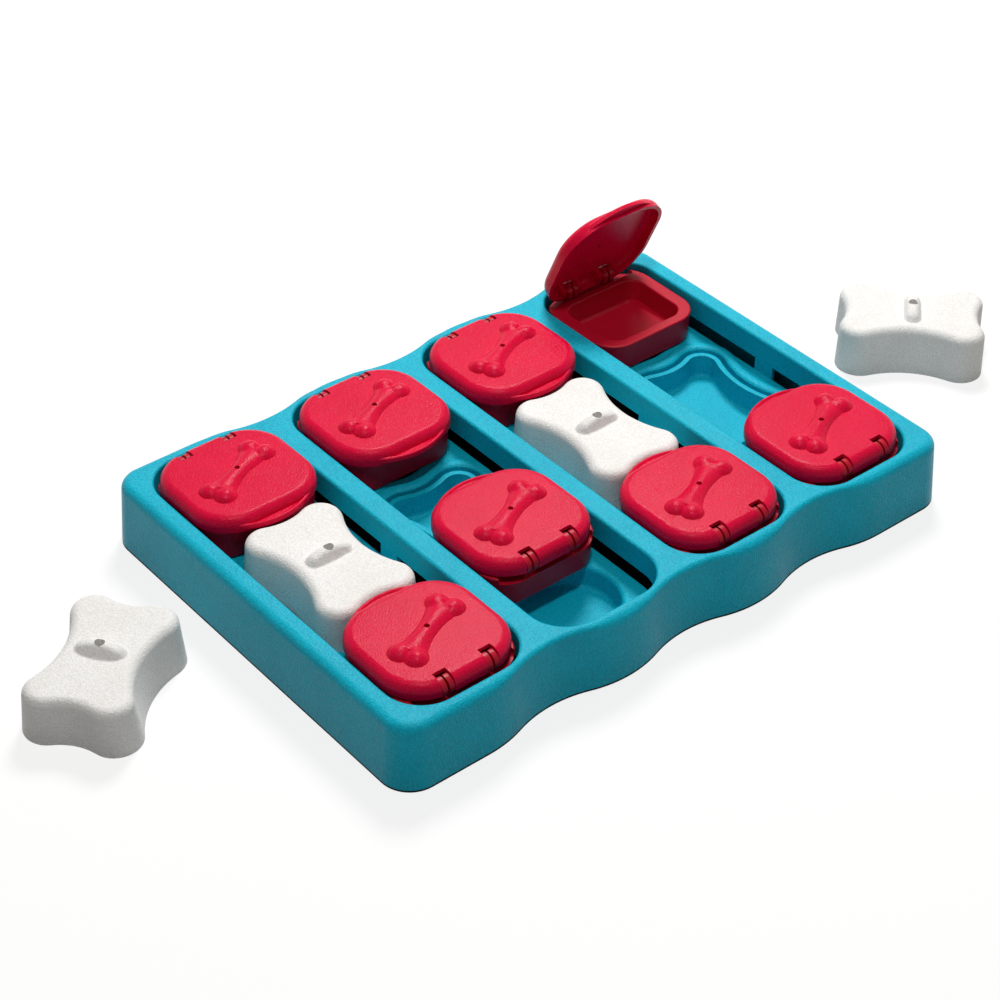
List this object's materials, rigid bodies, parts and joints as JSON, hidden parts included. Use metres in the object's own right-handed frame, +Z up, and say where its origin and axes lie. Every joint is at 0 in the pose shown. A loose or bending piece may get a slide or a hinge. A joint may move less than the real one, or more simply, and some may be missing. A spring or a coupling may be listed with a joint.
{
  "type": "dog puzzle feeder toy",
  "caption": "Lane tray with sliding lidded treat boxes and lift-off bone caps over wells; a dog slides the boxes, lifts the caps and flips the lids to reach food.",
  "frame": {"origin": "centre of the tray's footprint, on the surface it stands on, at the underside of the middle foot", "axes": "+X across the lanes to the right, +Y along the lanes to the back, +Z up"},
  "size_m": [0.5432, 0.2252, 0.0918],
  "materials": {
    "tray": "fine moulded grain",
    "box": "satin",
    "lid": "fine moulded grain",
    "bone": "fine moulded grain",
    "foot": "matt"
  },
  "bodies": {
    "base": {"tray_shell": "tray", "lane_1": "tray", "lane_2": "tray", "lane_3": "tray", "lane_4": "tray", "bone_well_1": "tray", "bone_well_2": "tray", "bone_well_3": "tray", "bone_well_4": "tray", "round_well_1_front": "tray", "round_well_1_back": "tray", "round_well_2_front": "tray", "round_well_2_back": "tray", "round_well_3_front": "tray", "round_well_3_back": "tray", "round_well_4_front": "tray", "round_well_4_back": "tray", "middle_boss": "tray", "foot_front_left": "foot", "foot_front_right": "foot", "foot_back_left": "foot", "foot_back_right": "foot", "foot_middle": "foot"},
    "drawer_1_front": {"box_1_front": "box"},
    "drawer_1_back": {"box_1_back": "box"},
    "drawer_2_front": {"box_2_front": "box"},
    "drawer_2_back": {"box_2_back": "box"},
    "drawer_3_front": {"box_3_front": "box"},
    "drawer_3_back": {"box_3_back": "box"},
    "drawer_4_front": {"box_4_front": "box"},
    "drawer_4_back": {"box_4_back": "box"},
    "cover_1_front": {"lid_1_front": "lid"},
    "cover_1_back": {"lid_1_back": "lid"},
    "cover_2_front": {"lid_2_front": "lid"},
    "cover_2_back": {"lid_2_back": "lid"},
    "cover_3_front": {"lid_3_front": "lid"},
    "cover_3_back": {"lid_3_back": "lid"},
    "cover_4_front": {"lid_4_front": "lid"},
    "cover_4_back": {"lid_4_back": "lid"},
    "cap_1": {"bone_1": "bone"},
    "cap_3": {"bone_3": "bone"},
    "cap_left": {"bone_left": "bone"},
    "cap_right": {"bone_right": "bone"}
  },
  "joints": [
    {"name": "slide_1_front", "type": "slide", "parent": "base", "child": "drawer_1_front", "axis": [0, 1, 0], "range_m": [0, 0.0015]},
    {"name": "hinge_1_front", "type": "hinge", "parent": "drawer_1_front", "child": "cover_1_front", "pos_m": [-0.11679, -0.096, 0.0348], "axis": [1, 0, 0], "range_deg": [0, 98]},
    {"name": "slide_1_back", "type": "slide", "parent": "base", "child": "drawer_1_back", "axis": [0, 1, 0], "range_m": [-0.0015, 0]},
    {"name": "hinge_1_back", "type": "hinge", "parent": "drawer_1_back", "child": "cover_1_back", "pos_m": [-0.11679, 0.096, 0.0348], "axis": [-1, 0, 0], "range_deg": [0, 98]},
    {"name": "slide_2_front", "type": "slide", "parent": "base", "child": "drawer_2_front", "axis": [0, 1, 0], "range_m": [-0.0393, 0]},
    {"name": "hinge_2_front", "type": "hinge", "parent": "drawer_2_front", "child": "cover_2_front", "pos_m": [-0.03893, -0.0567, 0.0348], "axis": [1, 0, 0], "range_deg": [0, 98]},
    {"name": "slide_2_back", "type": "slide", "parent": "base", "child": "drawer_2_back", "axis": [0, 1, 0], "range_m": [-0.029, 0]},
    {"name": "hinge_2_back", "type": "hinge", "parent": "drawer_2_back", "child": "cover_2_back", "pos_m": [-0.03893, 0.096, 0.0348], "axis": [-1, 0, 0], "range_deg": [0, 98]},
    {"name": "slide_3_front", "type": "slide", "parent": "base", "child": "drawer_3_front", "axis": [0, 1, 0], "range_m": [0, 0.0015]},
    {"name": "hinge_3_front", "type": "hinge", "parent": "drawer_3_front", "child": "cover_3_front", "pos_m": [0.03893, -0.096, 0.0348], "axis": [1, 0, 0], "range_deg": [0, 98]},
    {"name": "slide_3_back", "type": "slide", "parent": "base", "child": "drawer_3_back", "axis": [0, 1, 0], "range_m": [-0.0015, 0]},
    {"name": "hinge_3_back", "type": "hinge", "parent": "drawer_3_back", "child": "cover_3_back", "pos_m": [0.03893, 0.096, 0.0348], "axis": [-1, 0, 0], "range_deg": [0, 98]},
    {"name": "slide_4_front", "type": "slide", "parent": "base", "child": "drawer_4_front", "axis": [0, 1, 0], "range_m": [0, 0.0393]},
    {"name": "hinge_4_front", "type": "hinge", "parent": "drawer_4_front", "child": "cover_4_front", "pos_m": [0.11679, -0.096, 0.0348], "axis": [1, 0, 0], "range_deg": [0, 98]},
    {"name": "slide_4_back", "type": "slide", "parent": "base", "child": "drawer_4_back", "axis": [0, 1, 0], "range_m": [-0.0393, 0]},
    {"name": "hinge_4_back", "type": "hinge", "parent": "drawer_4_back", "child": "cover_4_back", "pos_m": [0.11679, 0.096, 0.0348], "axis": [-1, 0, 0], "range_deg": [-66, 32]},
    {"name": "lift_1", "type": "slide", "parent": "base", "child": "cap_1", "axis": [0, 0, 1], "range_m": [0, 0.06]},
    {"name": "lift_3", "type": "slide", "parent": "base", "child": "cap_3", "axis": [0, 0, 1], "range_m": [0, 0.06]},
    {"name": "lift_left", "type": "slide", "parent": "base", "child": "cap_left", "axis": [0, 0, 1], "range_m": [0, 0.06]},
    {"name": "lift_right", "type": "slide", "parent": "base", "child": "cap_right", "axis": [0, 0, 1], "range_m": [0, 0.06]}
  ]
}
